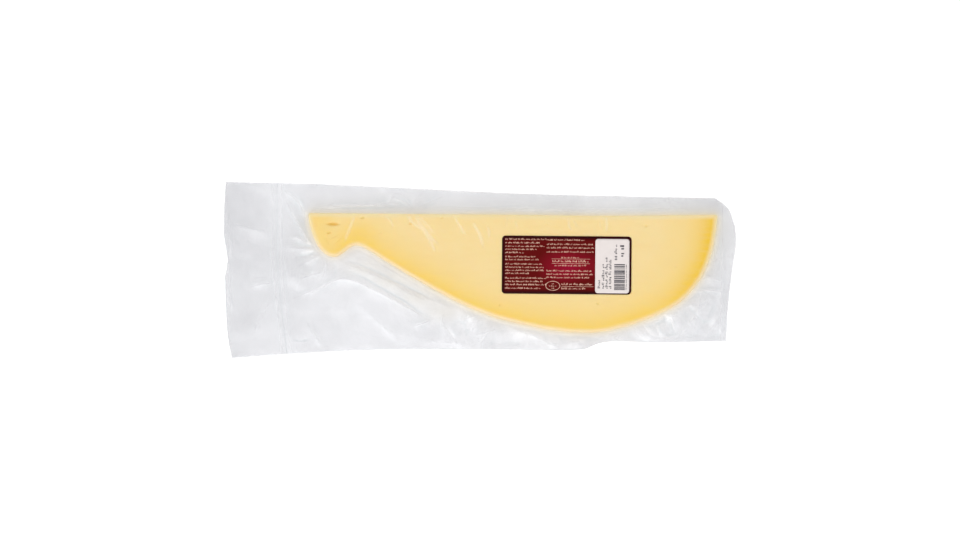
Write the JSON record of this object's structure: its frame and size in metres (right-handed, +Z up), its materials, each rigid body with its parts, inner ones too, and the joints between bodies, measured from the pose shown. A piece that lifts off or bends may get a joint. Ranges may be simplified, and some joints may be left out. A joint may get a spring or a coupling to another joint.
{
  "type": "vacuum-packed provola slice",
  "caption": "Long half slice of a necked, pear-shaped stretched-curd cheese, sealed flat between clear films with an information label and a price sticker.",
  "frame": {"origin": "under the middle of the whole package's box, on the surface that it lies on", "axes": "+X along the package towards the round end of the cheese, +Y towards the straight knife cut, +Z up through the labelled face"},
  "size_m": [0.4616, 0.1586, 0.0135],
  "materials": {
    "cheese": "pale yellow stretched-curd cheese, smooth and slightly waxy, darker along the rind",
    "clear_film": "clear glossy vacuum film, creased where it is drawn in around the slice",
    "label_paper": null,
    "sticker_paper": null
  },
  "bodies": {
    "root": {"cheese": "cheese", "back_film": "clear_film", "front_film": "clear_film", "product_label": "label_paper", "price_sticker": "sticker_paper"}
  },
  "joints": []
}
